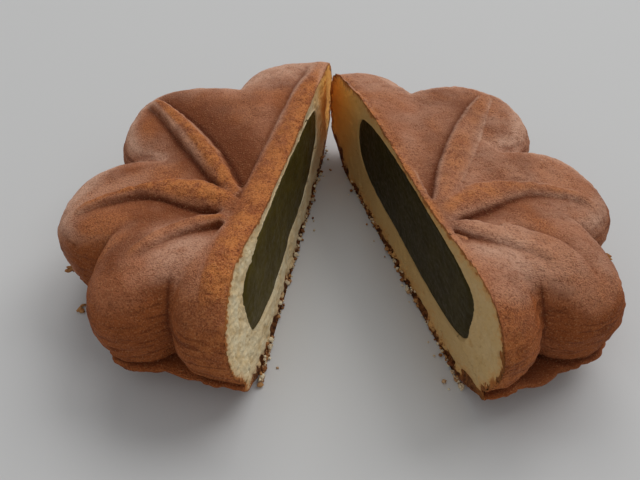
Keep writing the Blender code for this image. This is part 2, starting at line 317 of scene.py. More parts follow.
def top_height(x, y, side):
    """Height of the upper crust, with masks for the ridges, the grooves and the painted shade of the
    hollows.
    """
    depth = lobe_depth(np.abs(x), y, LOBES[side], VALLEY_SOFT)
    inner = smooth_step(0.6, 4.0, depth)
    depth = depth + (lobe_depth(np.abs(x), y, LOBES[side], FLAT_SOFT) - depth) * inner
    rim = np.clip(depth / SHOULDER_W, 0.0, 1.0)
    swell = np.sqrt(np.maximum(0.0, 1.0 - (1.0 - rim) ** 2.2))
    crown = TOP_Z + 0.9 * np.exp(-((y - 45.0) / 9.0) ** 2) + 1.3 * np.exp(-((y - 9.0) / 8.0) ** 2)
    crown -= 1.6 * np.maximum(0.0, (y - 52.0) / 14.0) + CROWN_FALL * np.abs(x)
    dome, slope = np.full(x.shape, -9.0), np.zeros(x.shape)
    ridge, groove = np.zeros(x.shape), np.zeros(x.shape)
    for vein in VEINS[side]:
        h, s, r, g = vein_parts(np.abs(x), y, vein)
        dome, slope = np.maximum(dome, h), np.minimum(slope, s)
        ridge, groove = np.maximum(ridge, r), np.maximum(groove, g)
    relief = np.where(dome > slope, dome, slope)
    near_rim = np.clip(rim * 1.9, 0.0, 1.0)
    # painted shade on the slopes that fall into the troughs, deeper where they sink more
    hollow = np.clip(-relief / 1.6, 0.0, 1.0) * (1.0 - np.clip(ridge * 1.5, 0.0, 1.0))
    z = SHOULDER_Z + (crown - SHOULDER_Z) * swell + np.maximum(relief, -DEEPEST) * near_rim
    return z, ridge * near_rim, groove * near_rim * (1.0 - 0.7 * ridge), hollow * near_rim


# %% [markdown]
# ## Laying a fan of lines over half a leaf
#
# A regular sheet of squares is easy to colour, to roughen and to export. The sheet
# is laid like a fan: its lines start side by side on the cut and spread to the
# edge of the leaf, run down the wall, round the thin flash that the mould squeezed
# out, and back underneath. Each line is then spaced evenly by its own length, so
# that steep walls get as many squares as flat tops.

# %% Edge of the leaf, from the stem end of the cut to its tip end
COLUMNS = 400
SLOPE_ROWS, FLASH_ROWS, BASE_ROWS, FLOOR_ROWS = 150, 9, 18, 8


def even(points, count):
    """Rows along a line, spaced evenly by the length that their first three numbers give."""
    step = np.linalg.norm(np.diff(points[:, :3], axis=0), axis=1)
    run = np.concatenate([[0.0], np.cumsum(step)])
    goal = np.linspace(0.0, run[-1], count)
    return np.stack([np.interp(goal, run, column) for column in points.T], axis=1)


def leaf_edge(side):
    """Evenly spaced points on the leaf's edge, with directions from the hub."""
    turns = np.radians(np.linspace(-97.0, 97.0, 4001))
    reach = edge_reach(turns, LOBES[side], NOTCH_SOFT)
    x, y = np.cos(turns) * reach, HUB_Y + np.sin(turns) * reach
    keep = x >= KNIFE_X[side]
    edge = even(np.stack([x, y, turns], axis=1)[keep], COLUMNS)
    edge[[0, -1], 0] = KNIFE_X[side]
    return edge


# %% Where a half's lines start, turn and stand
ROOT_FROM, ROOT_TO = 9.0, 55.0
END_COLUMNS = 12.0


def half_frame(side):
    """For each line: its start on the cut, the edge, the foot, and the way out and in."""
    edge = leaf_edge(side)
    knife, turns, n = KNIFE_X[side], edge[:, 2], len(edge)
    root = np.stack([np.full(n, knife), np.linspace(ROOT_FROM, ROOT_TO, n)], axis=1)
    ahead = np.gradient(edge[:, :2], axis=0)
    out = np.stack([ahead[:, 1], -ahead[:, 0]], axis=1)
    out /= np.linalg.norm(out, axis=1)[:, None]
    to_end = np.minimum(np.arange(n), n - 1 - np.arange(n))
    ends = np.clip(1.0 - to_end / END_COLUMNS, 0.0, 1.0)[:, None]
    out = out * (1.0 - ends) + np.array([0.0, 1.0]) * np.sign(out[:, 1:2]) * ends
    lower = edge_reach(turns, LOBES[side] + [FOOT[side]], BASE_SOFT) - BASE_TRIM
    base = np.stack([np.cos(turns) * lower, HUB_Y + np.sin(turns) * lower], axis=1)
    base[:, 0] += (knife - base[:, 0]) * ends[:, 0]
    inward = np.stack([-np.cos(turns), -np.sin(turns)], axis=1)
    inward[:, 0] *= 1.0 - ends[:, 0]
    return edge, root, out, base, inward


# %% Top and wall: laid finely, then evened out along each line
FINE_TOP, FINE_WALL = 420, 80


def top_and_wall(side, edge, root, out):
    """Rows of spots, each with x, y, z and its ridge, groove, hollow and crease masks."""
    tuck = WALL_TUCK + STEM_TUCK * np.maximum(0.0, -np.sin(edge[:, 2])) ** 8
    share = 1.0 - (1.0 - np.linspace(0.0, 1.0, FINE_TOP)) ** 1.6
    flat = root[None] + (edge[None, :, :2] - root[None]) * share[:, None, None]
    x, y = flat[..., 0], flat[..., 1]
    z, ridge, groove, hollow = top_height(x, y, side)
    crease = crease_at(x, y, side)
    crease *= 1.0 - smooth_step(1.0, 5.0, lobe_depth(x, y, LOBES[side], 1.0))
    fall = np.linspace(0.0, 1.0, FINE_WALL)[1:, None]
    wall_xy = edge[None, :, :2] - out[None] * (tuck[None, :] * fall ** 1.7)[..., None]
    end_z = z[-1][None, :]
    wall_z = end_z + (RIM_Z - end_z) * fall
    nil = np.zeros_like(wall_z)
    top = np.concatenate([flat, np.stack([z, ridge, groove, hollow, crease], axis=2)], axis=2)
    wall = np.stack([wall_z, nil, nil, nil, nil + crease[-1]], axis=2)
    path = np.concatenate([top, np.concatenate([wall_xy, wall], axis=2)])
    return np.stack([even(path[:, i], SLOPE_ROWS) for i in range(len(edge))], axis=1)


# %% Flash and underside
def plain_row(xy, z):
    """A row at one height whose masks are all nought."""
    return np.concatenate([xy, np.full((len(xy), 1), z), np.zeros((len(xy), 4))], axis=1)


def flash_and_base(root, base, inward, foot):
    """Out along the flash, round its edge and back, in to the flat, then to the cut."""
    spot = np.stack([base[:, 0], base[:, 1], np.zeros(len(base))], axis=1)
    ragged = grains(spot, 11, (0.30, 2.3), (0.22, 0.8), (0.25, 6.0))
    reach_out = np.maximum(((base - foot) * -inward).sum(axis=1) + RIM_OUT, 0.35) + ragged
    reach_out = np.maximum(reach_out, 0.15)
    rows = []
    for a in np.linspace(0.0, math.pi, FLASH_ROWS)[1:]:
        go = math.sin(a) if a < math.pi / 2 else 0.72 + 0.28 * math.sin(a)
        thin = 0.5 * RIM_T * (1.0 - math.cos(a))
        rows.append(plain_row(foot - inward * (reach_out * go)[:, None], RIM_Z - thin))
    lip = rows[-1][:, :2]
    for i in range(1, BASE_ROWS + 1):
        share = i / BASE_ROWS
        xy = base + inward * (0.1 + BASE_IN * share)
        blend = min(1.0, share * 4.0)
        xy = lip * (1.0 - blend) + xy * blend
        rows.append(plain_row(xy, (RIM_Z - RIM_T) * (1.0 - share) ** 1.35))
    edge_in = rows[-1][:, :2]
    for i in range(1, FLOOR_ROWS + 1):
        rows.append(plain_row(edge_in + (root - edge_in) * (i / FLOOR_ROWS), 0.0))
    return np.array(rows)


# %% The whole sheet of one half
def half_sheet(side):
    """All rows, from the cut over the top, down and back underneath to the cut."""
    edge, root, out, base, inward = half_frame(side)
    slope = top_and_wall(side, edge, root, out)
    sheet = np.concatenate([slope, flash_and_base(root, base, inward, slope[-1, :, :2])])
    sheet[:, [0, -1], 0] = KNIFE_X[side]
    sheet[[0, -1], :, 0] = KNIFE_X[side]
    return sheet


# %% [markdown]
# ## Roughening the crust
#
# A mould gives the broad shape, but the batter swells, shrinks and tears a little, so
# the crust is never as even as the iron. The sheet is pushed in and out along its own
# normals: slow swells for the uneven rise, fine grain for the matt skin, coarser
# crumbs on the vein ridges, flat wrinkles on the walls, and burst bubbles here and
# there. Doing this in the mesh and not only in the material keeps the outline rough.

# %% How each half differs
# the pale haze on the crust, which also carries a painted sheen where faces turn to the light
# behind: its share on broad faces, how much the near walls lose as painted shade, how much
# tips gain as painted sheen and how much ridges lose; the golden band along the cut widens
# from the first number, at the stem end, to the second
HAZE_AND_SHEEN = {"left": 0.10, "right": 0.30}
WALL_HAZE_SHEEN_LOSS, TIP_SHEEN = {"left": 0.5, "right": 0.15}, {"left": 0.9, "right": 0.3}
RIDGE_BARE = {"left": 0.5, "right": 0.12}
CUT_BAND = {"left": (1.0, 2.7), "right": (1.0, 1.4)}
ROUGH = {"left": 0.8, "right": 1.7}
# how many rows wide the painted shade at the foot of the wall is
FOOT_SHADE_ROWS = {"left": 2.2, "right": 3.4}
SEED = {"right": 100, "left": 200}


def sheet_normals(points):
    normal = np.cross(*np.gradient(points, axis=(0, 1)))
    return normal / np.maximum(np.linalg.norm(normal, axis=-1, keepdims=True), 1e-9)


# %% What kind of place each spot is
def places(p, normal, side):
    """Masks for the flash, underside, painted shade at the foot of the wall, wall, top and the band by
    the cut.
    """
    rows = np.arange(p.shape[0])[:, None] * np.ones((1, p.shape[1]))
    flash = smooth_step(SLOPE_ROWS - 7, SLOPE_ROWS - 1, rows)
    flash *= 1.0 - smooth_step(SLOPE_ROWS + FLASH_ROWS, SLOPE_ROWS + FLASH_ROWS + 4, rows)
    under = smooth_step(SLOPE_ROWS + 3, SLOPE_ROWS + FLASH_ROWS + 3, rows)
    # painted shade in the crease at the foot of the wall, above the flash
    lip = np.exp(-((rows - SLOPE_ROWS + 1.5) / FOOT_SHADE_ROWS[side]) ** 2)
    wall = (1.0 - smooth_step(0.35, 0.8, normal[..., 2])) * (1.0 - under)
    top = 1.0 - smooth_step(0.0, 1.0, wall + under)
    band = np.interp(p[..., 1], (8.0, 24.0), CUT_BAND[side]) + 5.0 * wall
    near_cut = np.exp(-((p[..., 0] - KNIFE_X[side]) / band) ** 2)
    stem = smooth_step(20.0, 10.0, p[..., 1])
    near_cut *= (1.0 - 0.25 * wall) * (1.0 - under) * (1.0 - 0.70 * top * stem)
    return flash, under, lip, wall, top, near_cut


def haze_and_sheen_share(p, normal, wall, top, under, ridge, side):
    """How much pale haze and painted sheen lies on each spot: most on shoulders and far lobes that face
    the light.
    """
    x, y = p[..., 0], p[..., 1]
    shoulder = smooth_step(0.98, 0.72, normal[..., 2]) * (1.0 - under)
    back = np.clip(y / 60.0, 0.0, 1.0)
    haze_and_sheen = grains(p, SEED[side] + 20, (0.30, 8.0), (0.16, 2.6), start=HAZE_AND_SHEEN[side])
    # painted sheen on shoulders facing the light behind; near walls, turned away from it, get less
    haze_and_sheen += shoulder * (1.9 * back - 0.25) - WALL_HAZE_SHEEN_LOSS[side] * wall * (1.0 - back)
    haze_and_sheen -= RIDGE_BARE[side] * ridge
    # painted sheen on patches of the left half that catch the light
    if side == "left":
        haze_and_sheen += 0.9 * smooth_step(24.0, 32.0, x) * smooth_step(38.0, 30.0, y) * (1.0 - under)
        haze_and_sheen += 0.5 * np.exp(-((x - 20.5) / 5.0) ** 2 - ((y - 36.0) / 4.5) ** 2) * top
    # painted sheen on the tops near the stem end
    haze_and_sheen += 0.55 * np.exp(-((x - 8.0) / 6.0) ** 2 - ((y - 12.0) / 6.0) ** 2) * top
    # painted sheen on the far tips
    haze_and_sheen += TIP_SHEEN[side] * smooth_step(46.0, 61.0, y)
    haze_and_sheen *= 1.0 - 0.8 * wall * smooth_step(0.45, 0.8, back)
    return np.clip(haze_and_sheen, 0.0, 1.0)


# %% The crust's own unevenness
def rough_crust(side):
    """The crust's points in leaf coordinates, and a mask for each kind of place."""
    sheet = half_sheet(side)
    p = sheet[..., :3].copy()
    ridge, groove, hollow, crease = (sheet[..., k] for k in range(3, 7))
    normal = sheet_normals(p)
    flash, under, lip, wall, top, near_cut = places(p, normal, side)
    seed = SEED[side]

    swell = grains(p, seed, (0.20, 8.5), (0.10, 3.4))
    fine = ROUGH[side] * grains(p, seed + 2, (0.065, 1.1), (0.050, 0.6))
    crumbs = grains(p, seed + 4, (0.15, 1.3), (0.14, 0.7))
    squashed = p * np.array([0.28, 0.28, 1.6])
    wrinkle = grains(squashed, seed + 6, (0.13, 1.1), (0.08, 0.5))
    wrinkle *= 1.0 + 1.8 * smooth_step(12.0, 7.0, p[..., 2])
    gap, kind = cells(p, 1.5, seed + 8)
    burst = -0.30 * smooth_step(0.30, 0.08, gap) * smooth_step(0.80, 0.97, kind)
    tear = grains(p, seed + 9, (0.20, 1.6), (0.12, 0.7))
    crumbly = np.clip(ridge + 0.35 * groove + 0.7 * near_cut, 0, 1)
    push = swell + fine + crumbly * crumbs + wall * wrinkle
    push += burst * (0.35 + 0.65 * wall) * (1.0 - under) + 0.4 * flash * tear
    push += under * (fine + 0.5 * tear) * smooth_step(0.0, 2.0, p[..., 2])
    p += normal * push[..., None]

    # flat where it stands, and nothing past the knife
    floor = smooth_step(0.6, 0.0, sheet[..., 2])
    p[..., 2] = np.maximum(p[..., 2], 0.0) * (1.0 - floor * under)
    knife = KNIFE_X[side]
    p[..., 0] = np.maximum(p[..., 0], knife)
    p[:, [0, -1], 0] = knife
    p[[0, -1], :, 0] = knife
    # the haze mask carries painted sheen; the lip mask is painted shade at the wall's foot and in the
    # creases between lobes
    masks = {"ridge": ridge, "groove": groove, "hollow": hollow, "wall": wall, "flash": flash,
             "under": under, "haze_and_sheen": haze_and_sheen_share(p, normal, wall, top, under, ridge, side),
             "near_cut": near_cut, "lip": np.maximum(lip, crease)}
    return p, masks


# %% [markdown]
# ## From leaf coordinates to the plate
#
# The knife took a strip near the midrib, so each half starts at its own knife line.
# It is then turned and set down so that the two tips nearly touch and the stem ends
# stand well apart. The left half leans outward a little at its stem end.

# %% Set a half down in the V
def lay_down(p, side):
    """Leaf coordinates in mm to the object's own coordinates in metres."""
    turn = math.radians(CUT_TURN[side])
    hand = 1.0 if side == "right" else -1.0
    along = (math.cos(turn), math.sin(turn))
    outward = (math.sin(turn) * hand, -math.cos(turn) * hand)
    x, y, z = p[..., 0], p[..., 1], p[..., 2]
    lean = LEAN[side] * np.maximum(0.0, 1.0 - y / LEAN_END_Y) * np.exp(-(x / LEAN_END_X) ** 2)
    reach = x + lean * z - KNIFE_X[side]
    wx = CUT_AT[side][0] + reach * outward[0] + y * along[0]
    wy = CUT_AT[side][1] + reach * outward[1] + y * along[1]
    return np.stack([wx, wy, z], axis=-1) * MM


# %% Close the back of a sheet
# how far behind the knife each ring lies, and how far it is drawn in
BACK_OF_SHEET = [(1.2, 0.90)] + [(1.4 + 4.2 * math.sin(a), 0.82 * math.cos(a))
                                 for a in (0.5 * math.pi * i / 5 for i in range(6))]


def ring_at(x, y, z, share):
    """A ring at one depth behind the cut, drawn in towards the middle of the paste."""
    return np.stack([np.full_like(y, x), PASTE_Y + (y - PASTE_Y) * share,
                     PASTE_Z + (z - PASTE_Z) * share], axis=1)


def close_behind(bm, spot, points, side):
    """Close a sheet whose edge lies in the cut with a shallow dome behind the sponge."""
    edges = [e for e in bm.edges if e.is_boundary]
    flat = points.reshape(-1, 3)
    for go, share in BACK_OF_SHEET:
        grown = bmesh.ops.extrude_edge_only(bm, edges=edges)["geom"]
        edges = [e for e in grown if isinstance(e, bmesh.types.BMEdge) and e.is_boundary]
        verts = [v for v in grown if isinstance(v, bmesh.types.BMVert)]
        ring = flat[[v[spot] for v in verts]]
        ring = ring_at(KNIFE_X[side] + go, ring[:, 1], ring[:, 2], share)
        for v, at in zip(verts, lay_down(ring, side).tolist()):
            v.co = at
    bmesh.ops.remove_doubles(bm, verts=verts, dist=1e-7)
    bmesh.ops.recalc_face_normals(bm, faces=bm.faces[:])
    print("open edges left", sum(e.is_boundary for e in bm.edges))


# %% Lay a grid over an array of points
def in_scene(name, data):
    thing = bpy.data.objects.new(name, data)
    bpy.context.scene.collection.objects.link(thing)
    return thing


def as_object(name, bm, smooth=True):
    """Turn a finished bmesh into an object that sits at the origin."""
    for f in bm.faces:
        f.smooth = smooth
    mesh = bpy.data.meshes.new(name)
    bm.to_mesh(mesh)
    bm.free()
    print(name, len(mesh.vertices), "corners", len(mesh.polygons), "faces")
    return in_scene(name, mesh)


pieces = {}


def grid_piece(part, side, points, masks, wrap=False, shut=False):
    """A new piece: a bmesh grid, each corner moved to its point, masks kept as attributes."""
    rows, cols = points.shape[:2]
    bm = bmesh.new()
    bmesh.ops.create_grid(bm, x_segments=rows - 1, y_segments=cols - 1, size=0.5)
    layers = {key: bm.verts.layers.float.new(key) for key in masks}
    spot = bm.verts.layers.int.new("spot")
    placed = lay_down(points, side).reshape(-1, 3).tolist()
    flat = {key: np.asarray(value, float).reshape(-1).tolist() for key, value in masks.items()}
    for v in bm.verts:
        i = round((v.co.x + 0.5) * (rows - 1)) * cols + round((v.co.y + 0.5) * (cols - 1))
        v.co = placed[i]
        v[spot] = i
        for key, layer in layers.items():
            v[layer] = flat[key][i]
    if wrap:
        bmesh.ops.remove_doubles(bm, verts=bm.verts[:], dist=1e-7)
    if shut:
        close_behind(bm, spot, points, side)
    elif side == "left":
        bmesh.ops.reverse_faces(bm, faces=bm.faces[:])
    pieces[part + "_" + side] = as_object(part + "_" + side, bm)


# %% [markdown]
# ## The crust of both halves
#
# The sheet's four sides all lie in the knife's plane. Together they are the outline
# of the cut, which the sponge face picks up later, so the two always meet.

# %% Make the crust
skins = {}
for side in SIDES:
    skins[side], masks = rough_crust(side)
    grid_piece("crust", side, skins[side], masks, shut=True)

# %% [markdown]
# ## The sponge on the cut face
#
# The knife drags through soft crumb, so the face is a fine sponge: shallow pits where
# it opened air bubbles, grains that stand proud, and the thin brown edge of the crust
# all round. The face is a fan of rings between the paste and the outline of the cut.
# Its inner rim turns back round the paste, and it is closed behind as a solid piece.

# %% The outline of the cut and of the paste
FACE_SEED = {"right": 300, "left": 400}
FACE_ROUGH = {"right": 0.75, "left": 1.25}
# a tan coat on the cut face: heavy on the right face, which turns away from the light, as painted shade;
# light on the left face
TAN_AND_SHADE = {"left": (0.15, 0.15), "right": (0.80, 1.0)}


def cut_outline(side):
    """The sheet's four sides as one line, open at its end."""
    p = skins[side]
    return np.concatenate([p[0, :-1], p[:-1, -1], p[-1, :0:-1], p[:0:-1, 0]])


def paste_edge(y, z, side):
    """Steps from the paste's middle to its uneven edge, on the ray through each spot."""
    a, b = (y - PASTE_Y) / PASTE_L, (z - PASTE_Z) / PASTE_H
    square = PASTE_BLUNT + (PASTE_TAPER - PASTE_BLUNT) * smooth_step(-0.5, 0.5, a)
    k = (np.abs(a) ** square + np.abs(b) ** square) ** (-1.0 / square)
    ey, ez = (y - PASTE_Y) * k, (z - PASTE_Z) * k
    ez = ez + PASTE_RISE * ey
    spot = np.stack([ey, ez, np.zeros_like(ey)], axis=1)
    wave = 1.0 + grains(spot, FACE_SEED[side], (0.012, 5.0), (0.006, 1.4))
    return ey * wave, ez * wave


# %% Depth below the crust, and the torn relief of the face
def below_crust(rim, y, z):
    """How far each spot is from the crust's line, and how high the nearest crust is."""
    tree = KDTree(len(rim) - 1)
    for i, (_, ry, rz) in enumerate(rim[:-1].tolist()):
        tree.insert((ry, rz, 0.0), i)
    tree.balance()
    near = [tree.find((a, b, 0.0)) for a, b in zip(y.ravel().tolist(), z.ravel().tolist())]
    deep = np.array([n[2] for n in near]).reshape(y.shape)
    rim_z = np.array([n[0][1] for n in near]).reshape(y.shape)
    return deep, rim_z


def torn_relief(y, z, deep, rim_z, share, side):
    """How far each spot lies behind the knife's plane, and how much of it is a pit."""
    seed, rough = FACE_SEED[side], FACE_ROUGH[side]
    flat = np.stack([y, z, np.full_like(y, 3.0)], axis=-1)
    lumps = grains(flat, seed + 2, (0.22, 4.5), (0.13, 1.5))
    lumps += grains(flat, seed + 4, (0.09, 0.7), (0.05, 0.36))
    lumps += smooth_step(16.0, 8.0, y) * grains(flat, seed + 7, (0.08, 1.0), (0.18, 0.4))
    gap, kind = cells(flat, 0.85, seed + 6)
    pits = 0.26 * smooth_step(0.42, 0.10, gap) * smooth_step(0.35, 0.9, kind)
    gap, kind = cells(flat, 2.2, seed + 10)
    holes = 0.75 * smooth_step(0.34, 0.14, gap) * smooth_step(0.86, 0.95, kind)
    low = smooth_step(4.5, 1.2, rim_z) * smooth_step(2.6, 0.6, deep)
    torn = low * grains(flat, seed + 14, (0.55, 1.4), (0.40, 0.6), start=0.30)
    inner, outer = smooth_step(0.0, 0.05, share), smooth_step(0.0, 0.35, deep)
    relief = outer * (0.10 + rough * (lumps + pits) + holes + torn) * (0.35 + 0.65 * inner)
    return relief, np.clip(pits * 3 + holes, 0, 1)


# %% The sponge face of one half
FACE_RINGS, POCKET_RINGS, BACK_RINGS = 58, 7, 6
PASTE_X, BACK_X, BACK_SHARE = 4.6, 5.2, 0.78
PROUD = 0.45
DEEP_TONE = {"left": 1.1, "right": 0.8}


def sponge_face(side):
    """Rings from the pocket behind the paste, across the face, to the back."""
    knife = KNIFE_X[side]
    rim = cut_outline(side)
    rim = np.concatenate([rim, rim[:1]])
    ey, ez = paste_edge(rim[:, 1], rim[:, 2], side)
    iy, iz = PASTE_Y + ey, PASTE_Z + ez
    share = np.linspace(0.0, 1.0, FACE_RINGS)[:, None]
    y = iy + (rim[:, 1] - iy) * share
    z = iz + (rim[:, 2] - iz) * share
    deep, rim_z = below_crust(rim, y, z)
    relief, pit = torn_relief(y, z, deep, rim_z, share, side)
    face = np.stack([np.maximum(knife + relief, knife - PROUD), y, z], axis=-1)

    pocket, back = [], []
    for i in range(POCKET_RINGS):
        a = 0.5 * math.pi * i / POCKET_RINGS
        pocket.append(ring_at(knife + 0.3 + (PASTE_X - knife) * math.cos(a), iy, iz, math.sin(a)))
    for i in range(1, BACK_RINGS + 1):
        a = 0.5 * math.pi * i / BACK_RINGS
        back.append(ring_at(knife + 0.4 + BACK_X * math.sin(a), rim[:, 1], rim[:, 2],
                            math.cos(a) * BACK_SHARE))
    points = np.concatenate([np.array(pocket), face, np.array(back)])
    points[:, -1] = points[:, 0]

    def spread(value):
        whole = np.zeros(points.shape[:2])
        whole[POCKET_RINGS:POCKET_RINGS + FACE_RINGS] = value
        return whole

    # the tan mask carries painted shade on the right face
    masks = {"deep": spread(deep * DEEP_TONE[side]), "rim_z": spread(rim_z), "pit": spread(pit),
             "along": points[..., 1] / 66.0, "high": points[..., 2] / 20.0,
             "tan_and_shade": np.interp(points[..., 1], (6.0, 26.0), TAN_AND_SHADE[side])}
    return points, masks


# %% Make both sponge faces
for side in SIDES:
    grid_piece("crumb", side, *sponge_face(side), wrap=True)

# %% [markdown]
# ## The bean paste
#
# Smooth bean paste is dense and moist. The knife leaves it almost flat and faintly
# shiny, with shallow drag marks and soft bumps. Each half is a closed lump: a flat
# cut face, a rounded rim, and a dome that fills the pocket behind.

# %% The paste of one half
PASTE_SPOKES, PASTE_FACE, PASTE_DOME = 360, 80, 30
PASTE_SHADE = {"left": (0.12, 0.28), "right": (0.62, 0.82)}


def paste_relief(y, z, share, seed):
    """How far the paste's cut face lies behind the knife's plane."""
    flat = np.stack([y, z, np.full_like(y, 7.0)], axis=1)
    drag = flat * np.array([0.25, 1.0, 1.0])
    bumps = grains(flat, seed, (0.16, 6.0), (0.07, 1.8))
    bumps += 0.03 * grain(drag, 0.8, seed + 2) + 0.03 * grain(flat, 0.5, seed + 3)
    return 0.10 + 0.30 * smooth_step(0.93, 0.985, np.full_like(y, share)), bumps


def paste_lump(side):
    """Rings from the back of the dome, round the rim, to the middle of the cut face."""
    knife = KNIFE_X[side]
    turn = np.linspace(0.0, 2.0 * math.pi, PASTE_SPOKES + 1)
    ey, ez = paste_edge(PASTE_Y + np.cos(turn), PASTE_Z - 0.32 * np.sin(turn), side)
    dome = [0.5 * math.pi * i / PASTE_DOME for i in range(PASTE_DOME)]
    rows = [(math.sin(a), math.cos(a)) for a in dome]
    rows += [(1.0 - 0.024 * (1.0 - math.cos(a)), 0.0) for a in (0.0, 0.8)]
    points = []
    for share, go in rows:
        x = np.full_like(ey, knife + 0.35 + (PASTE_X - knife - 0.6) * go)
        points.append(np.stack([x, PASTE_Y + ey * share, PASTE_Z + ez * share], axis=1))
    for share in np.linspace(0.985, 0.0, PASTE_FACE):
        y, z = PASTE_Y + ey * share, PASTE_Z + ez * share
        sunk, bumps = paste_relief(y, z, share, FACE_SEED[side] + 200)
        points.append(np.stack([knife + sunk + bumps, y, z], axis=1))
    points = np.array(points)
    points[:, -1] = points[:, 0]
    return points, {"shade": np.interp(points[..., 1], (10.0, 50.0), PASTE_SHADE[side])}


for side in SIDES:
    grid_piece("filling", side, *paste_lump(side), wrap=True)

# %% [markdown]
# ## Loose crumbs and torn flakes
#
# The knife pushes crumbs out along the foot of each cut, and some fall on the plate.
# Where the two halves of the mould met, thin flakes of crust tore off in the notches
# between lobes. Each bit is a small ball knocked out of round; a flake is the same
# ball pressed flat and bent. Every bit has its own tone, from cream to dark brown.

# %% One bit
def add_bit(bm, side, at, size, tone, layer, squash, bend=0.0):
    """A ball of a given size at a spot in leaf coordinates, knocked out of round."""
    verts = bmesh.ops.create_icosphere(bm, subdivisions=2, radius=1.0)["verts"]
    co = np.array([v.co for v in verts])
    co *= grains(co, random.randrange(10 ** 6), (0.38, 0.8), (0.26, 0.35), start=1.0)[:, None]
    co *= np.array(squash)
    co[:, 2] += bend * (co[:, 0] ** 2 + 0.4 * co[:, 0])
    turn = random.uniform(0.0, 2.0 * math.pi)
    c, n = math.cos(turn), math.sin(turn)
    co = np.stack([c * co[:, 0] - n * co[:, 1], n * co[:, 0] + c * co[:, 1], co[:, 2]], axis=1)
    spots = np.array(at) + co * size
    spots[:, 2] -= min(0.0, spots[:, 2].min())
    for v, spot in zip(verts, lay_down(spots, side).tolist()):
        v.co = spot
        v[layer] = tone


# %% Crumbs and flakes of one half
CRUMBS = {"left": 190, "right": 150}
CRUMB_SEED = {"left": 41, "right": 43}
FLAKES = {"left": [(31.9, 17.4, 5.0), (30.0, 13.8, 0.0)],
          "right": [(32.1, 18.5, 5.2), (32.1, 17.6, 6.0), (31.6, 16.8, 4.6)]}
FOOT_Z = 2.2
STEM_SHARE, FALLEN_SHARE = 0.30, 0.07


def crumb_bits(side):
    random.seed(CRUMB_SEED[side])
    bm = bmesh.new()
    layer = bm.verts.layers.float.new("tone")
    foot = cut_outline(side)
    foot = foot[foot[:, 2] < FOOT_Z]
    for _ in range(CRUMBS[side]):
        y = foot[random.randrange(len(foot))][1]
        if random.random() < STEM_SHARE:
            y = foot[:, 1].min() + abs(random.gauss(0.0, 4.0))
        size = min(0.14 + random.expovariate(11.0), 0.45)
        lift = max(0.0, random.gauss(0.3, 0.6))
        out = random.uniform(-0.30, 0.15)
        if random.random() < FALLEN_SHARE:
            out, lift = random.uniform(-2.2, -0.5), 0.0
        tone = random.choice((random.uniform(0.0, 0.3), random.uniform(0.3, 1.0)))
        add_bit(bm, side, (KNIFE_X[side] + out, y, lift + 0.5 * size), size, tone, layer,
                (1.0, random.uniform(0.6, 1.0), 0.7))
    for x, y, z in FLAKES[side]:
        for _ in range(3):
            spot = (x + random.gauss(0, 0.3), y + random.gauss(0, 0.3), z + abs(random.gauss(0, 0.3)))
            add_bit(bm, side, spot, random.uniform(0.4, 0.75), random.uniform(0.5, 0.75), layer,
                    (1.0, 0.55, 0.22), random.uniform(-0.5, 0.6))
    if side == "left":
        bmesh.ops.reverse_faces(bm, faces=bm.faces[:])
    return as_object("bits_" + side, bm)


for side in SIDES:
    pieces["bits_" + side] = crumb_bits(side)

# %% [markdown]
# ## Materials
#
# Every finish is a node group that turns masks and noise into a colour, a roughness
# and a height. It is painted like a model cake: a ground colour, then one thin coat
# over another, each through its own mask. The groups hold no shader: the Principled
# shader stays in the material, where its plain numbers can be read straight off it.

